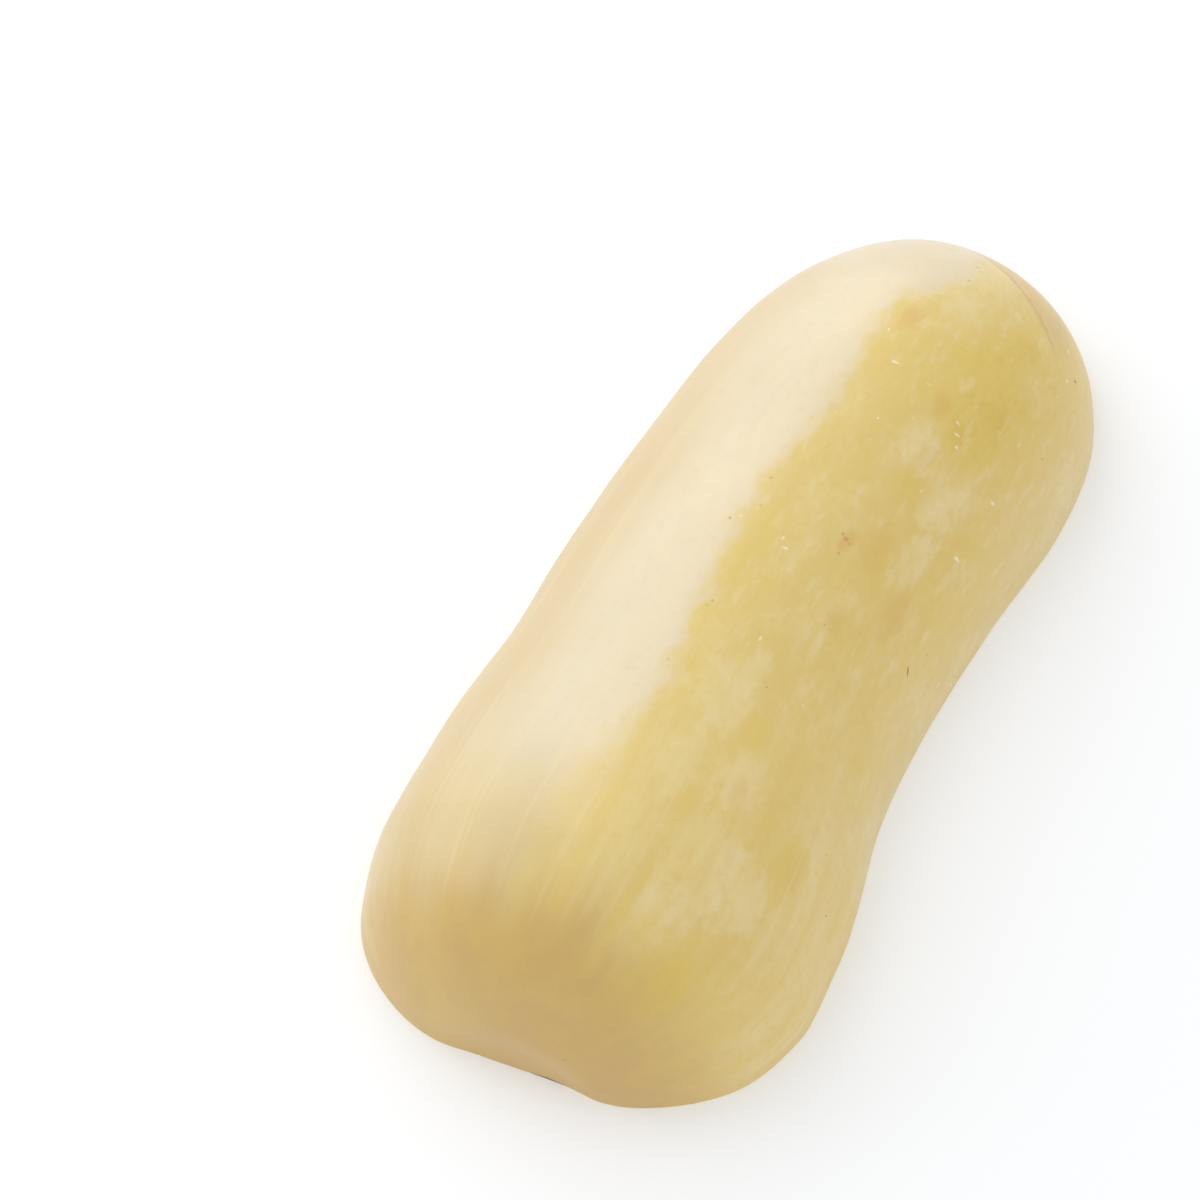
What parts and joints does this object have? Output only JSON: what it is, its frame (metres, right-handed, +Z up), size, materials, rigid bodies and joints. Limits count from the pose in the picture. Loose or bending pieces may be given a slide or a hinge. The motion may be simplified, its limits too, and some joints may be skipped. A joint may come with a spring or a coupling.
{
  "type": "butternut squash half",
  "caption": "Fresh butternut squash cut lengthwise, lying on its flat cut face with the pale tan skin up, seed cavity filled with stringy pulp and flat seeds.",
  "frame": {"origin": "on the cut face, at the middle of the bottom of the box round the half", "axes": "+Y from the blossom end to the stem end, along the longest extent; +Z up from the cut face to the top of the skin; +X to the right seen from the blossom end"},
  "size_m": [0.1156, 0.2524, 0.0557],
  "materials": {
    "skin_and_flesh": "smooth waxy rind, satin, pale tan with yellow mottling; the cut face is moist orange-yellow flesh",
    "pulp_and_seeds": "moist stringy orange pulp with smooth cream seeds"
  },
  "bodies": {
    "root": {"squash_half": "skin_and_flesh", "seed_pulp": "pulp_and_seeds"}
  },
  "joints": []
}
